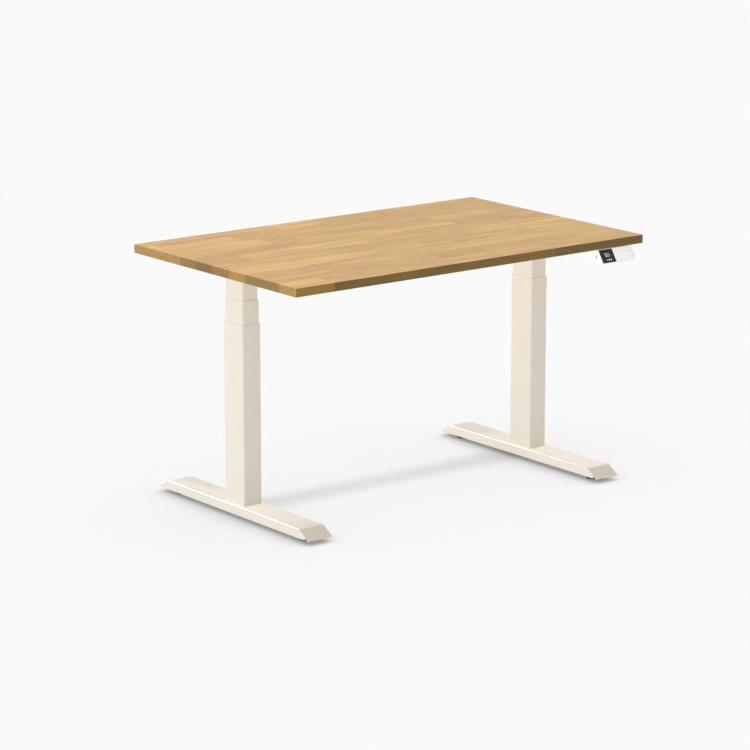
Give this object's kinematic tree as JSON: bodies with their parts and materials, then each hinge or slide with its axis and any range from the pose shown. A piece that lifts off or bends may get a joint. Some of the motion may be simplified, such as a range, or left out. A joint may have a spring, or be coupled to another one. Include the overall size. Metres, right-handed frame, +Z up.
{
  "type": "height adjustable standing desk",
  "caption": "Rectangular timber desktop on telescoping lifting columns with flat steel feet, levelling pads and a paddle handset with display.",
  "frame": {"origin": "on the floor, under the middle of the whole outline; the handset stretches the outline forward, so the columns stand 11.2 mm behind it", "axes": "+X to the user's right along the desktop, +Y away from the user, +Z up"},
  "size_m": [1.2, 0.7724, 0.705],
  "materials": {
    "timber": "clear oiled, satin, solid oak staves glued edge to edge",
    "cream_paint": "fine-textured cream powder coat",
    "cream_plastic": "smooth moulded cream plastic",
    "black_rubber": "moulded black pad",
    "black_plastic": "fine spark-textured black plastic",
    "glide_plastic": "smooth natural acetal",
    "white_plastic": "satin moulded white plastic",
    "paddle_plastic": "satin moulded off-white plastic",
    "zinc_steel": "bright zinc plated",
    "screw_steel": "rolled and greased steel thread",
    "black_zinc": "black zinc plated screws",
    "nut_bronze": "machined bronze",
    "motor_shell": "black stoved enamel",
    "circuit_board": "green solder resist",
    "display": "polished black glazing"
  },
  "bodies": {
    "base": {"foot_bolts": "zinc_steel", "foot_weld_nuts": "zinc_steel", "left_foot": "cream_paint", "left_outer_tube": "cream_paint", "left_outer_collar": "cream_plastic", "left_base_spindle": "screw_steel", "right_foot": "cream_paint", "right_outer_tube": "cream_paint", "right_outer_collar": "cream_plastic", "right_base_spindle": "screw_steel"},
    "left_middle": {"left_middle_tube": "cream_paint", "left_middle_collar": "cream_plastic", "left_middle_slides": "glide_plastic", "left_middle_bearing": "cream_paint"},
    "left_spindle": {"left_lift_spindle": "screw_steel"},
    "left_hex": {"left_hex_shaft": "screw_steel"},
    "left_front_leveller": {"left_front_leveller_pad": "black_rubber", "left_front_leveller_stud": "zinc_steel"},
    "left_rear_leveller": {"left_rear_leveller_pad": "black_rubber", "left_rear_leveller_stud": "zinc_steel"},
    "right_middle": {"right_middle_tube": "cream_paint", "right_middle_collar": "cream_plastic", "right_middle_slides": "glide_plastic", "right_middle_bearing": "cream_paint"},
    "right_spindle": {"right_lift_spindle": "screw_steel"},
    "right_hex": {"right_hex_shaft": "screw_steel"},
    "right_front_leveller": {"right_front_leveller_pad": "black_rubber", "right_front_leveller_stud": "zinc_steel"},
    "right_rear_leveller": {"right_rear_leveller_pad": "black_rubber", "right_rear_leveller_stud": "zinc_steel"},
    "top": {"desktop": "timber", "wood_screws": "black_zinc", "machine_screws": "black_zinc", "centre_beam": "cream_paint", "control_box_tray": "black_plastic", "control_box_cover": "black_plastic", "control_board": "circuit_board", "control_box_sockets": "black_plastic", "handset_housing": "white_plastic", "display_glass": "display", "handset_board": "circuit_board", "usb_port": "zinc_steel", "paddle_pin": "zinc_steel", "left_inner_tube": "cream_paint", "left_inner_slides": "glide_plastic", "left_inner_nut": "nut_bronze", "left_gearmotor": "motor_shell", "left_head_plate": "cream_paint", "left_side_bracket": "cream_paint", "left_beam_sleeve": "cream_paint", "right_inner_tube": "cream_paint", "right_inner_slides": "glide_plastic", "right_inner_nut": "nut_bronze", "right_gearmotor": "motor_shell", "right_head_plate": "cream_paint", "right_side_bracket": "cream_paint", "right_beam_sleeve": "cream_paint"},
    "paddle": {"paddle": "paddle_plastic"}
  },
  "joints": [
    {"name": "column_lift", "type": "slide", "parent": "base", "child": "top", "axis": [0, 0, 1], "range_m": [-0.11, 0.54]},
    {"name": "left_middle_slide", "type": "slide", "parent": "base", "child": "left_middle", "axis": [0, 0, 1], "range_m": [-0.055, 0.27]},
    {"name": "left_spindle_turn", "type": "hinge", "parent": "left_middle", "child": "left_spindle", "pos_m": [-0.506, 0.01122, 0.3], "axis": [0, 0, 1], "range_deg": [-3961, 19441]},
    {"name": "left_hex_turn", "type": "hinge", "parent": "top", "child": "left_hex", "pos_m": [-0.506, 0.01122, 0.5], "axis": [0, 0, 1], "range_deg": [-3961, 19441]},
    {"name": "right_middle_slide", "type": "slide", "parent": "base", "child": "right_middle", "axis": [0, 0, 1], "range_m": [-0.055, 0.27]},
    {"name": "right_spindle_turn", "type": "hinge", "parent": "right_middle", "child": "right_spindle", "pos_m": [0.506, 0.01122, 0.3], "axis": [0, 0, 1], "range_deg": [-3961, 19441]},
    {"name": "right_hex_turn", "type": "hinge", "parent": "top", "child": "right_hex", "pos_m": [0.506, 0.01122, 0.5], "axis": [0, 0, 1], "range_deg": [-3961, 19441]},
    {"name": "paddle_rock", "type": "hinge", "parent": "top", "child": "paddle", "pos_m": [0.5216, -0.3666, 0.66197], "axis": [1, 0, 0], "range_deg": [-4.5, 4.5], "stiffness_Nm_per_rad": 0.8},
    {"name": "left_front_levelling", "type": "slide", "parent": "base", "child": "left_front_leveller", "axis": [0, 0, 1], "range_m": [-0.01, 0]},
    {"name": "left_rear_levelling", "type": "slide", "parent": "base", "child": "left_rear_leveller", "axis": [0, 0, 1], "range_m": [-0.01, 0]},
    {"name": "right_front_levelling", "type": "slide", "parent": "base", "child": "right_front_leveller", "axis": [0, 0, 1], "range_m": [-0.01, 0]},
    {"name": "right_rear_levelling", "type": "slide", "parent": "base", "child": "right_rear_leveller", "axis": [0, 0, 1], "range_m": [-0.01, 0]}
  ],
  "couplings": [
    {"joint": "left_middle_slide", "follows": "column_lift", "ratio": 0.5},
    {"joint": "left_spindle_turn", "follows": "column_lift", "rad_per_m": 628.32},
    {"joint": "left_hex_turn", "follows": "column_lift", "rad_per_m": 628.32},
    {"joint": "right_middle_slide", "follows": "column_lift", "ratio": 0.5},
    {"joint": "right_spindle_turn", "follows": "column_lift", "rad_per_m": 628.32},
    {"joint": "right_hex_turn", "follows": "column_lift", "rad_per_m": 628.32}
  ]
}
